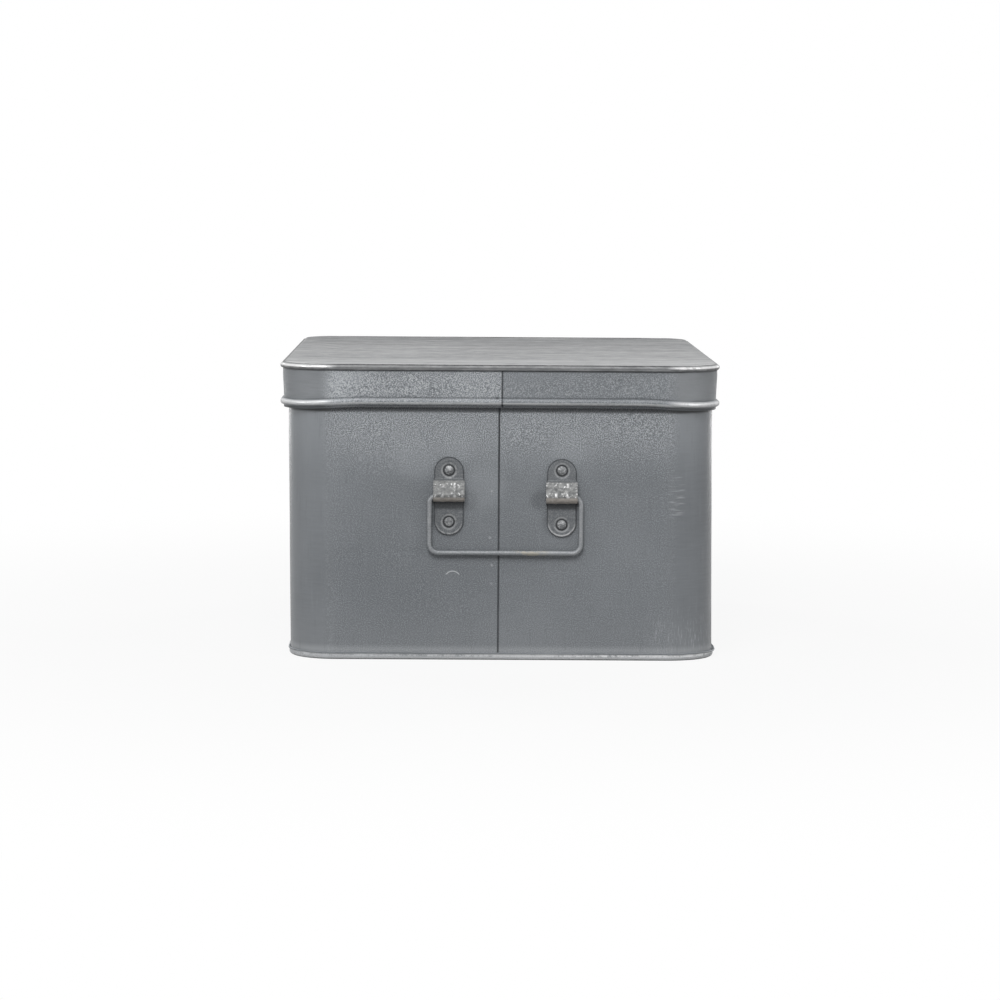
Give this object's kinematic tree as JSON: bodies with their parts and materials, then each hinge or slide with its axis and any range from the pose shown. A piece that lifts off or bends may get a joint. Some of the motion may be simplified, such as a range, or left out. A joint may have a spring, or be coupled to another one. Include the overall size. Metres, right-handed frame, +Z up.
{
  "type": "small trunk",
  "caption": "Small sheet-metal trunk with rounded upright corners, a lift-off beaded lid and a wire bail handle riveted to each end, for papers and keepsakes.",
  "frame": {"origin": "on the table, under the middle of the trunk", "axes": "+X across the width, to the right as the front end is seen; +Y along the length, away from the front end; +Z up"},
  "size_m": [0.3008, 0.4032, 0.2016],
  "materials": {
    "body_sheet": "grey wash over steel sheet, satin, fine grain, rubbed bright along its edges",
    "base_sheet": "pale rubbed grey, satin, crimped edge",
    "lid_top_sheet": "pale grey brushed across the width, satin",
    "lid_band_sheet": "grey wash, satin, fine grain, bead rubbed bright",
    "bail_wire": "grey, satin, rubbed on the bar",
    "bracket_strap": "grey over hammered strap, bright spots on the loop",
    "rivet_steel": "grey, rubbed to bare metal on the crown",
    "rim_core_wire": "plain drawn wire"
  },
  "bodies": {
    "trunk_body": {"body_left_shell": "body_sheet", "body_right_shell": "body_sheet", "base_pan": "base_sheet", "rim_wire": "rim_core_wire", "front_left_bracket": "bracket_strap", "front_right_bracket": "bracket_strap", "rear_left_bracket": "bracket_strap", "rear_right_bracket": "bracket_strap", "front_left_upper_rivet": "rivet_steel", "front_left_lower_rivet": "rivet_steel", "front_right_upper_rivet": "rivet_steel", "front_right_lower_rivet": "rivet_steel", "rear_left_upper_rivet": "rivet_steel", "rear_left_lower_rivet": "rivet_steel", "rear_right_upper_rivet": "rivet_steel", "rear_right_lower_rivet": "rivet_steel"},
    "lid": {"lid_panel": "lid_top_sheet", "lid_left_band": "lid_band_sheet", "lid_right_band": "lid_band_sheet"},
    "front_bail": {"front_bail": "bail_wire"},
    "rear_bail": {"rear_bail": "bail_wire"}
  },
  "joints": [
    {"name": "lid_lift", "type": "slide", "parent": "trunk_body", "child": "lid", "axis": [0, 0, 1], "range_m": [0, 0.15]},
    {"name": "front_bail_swing", "type": "hinge", "parent": "trunk_body", "child": "front_bail", "pos_m": [0.0033, -0.19745, 0.1116], "axis": [-1, 0, 0], "range_deg": [0, 175]},
    {"name": "rear_bail_swing", "type": "hinge", "parent": "trunk_body", "child": "rear_bail", "pos_m": [-0.0033, 0.19745, 0.1116], "axis": [1, 0, 0], "range_deg": [0, 175]}
  ]
}
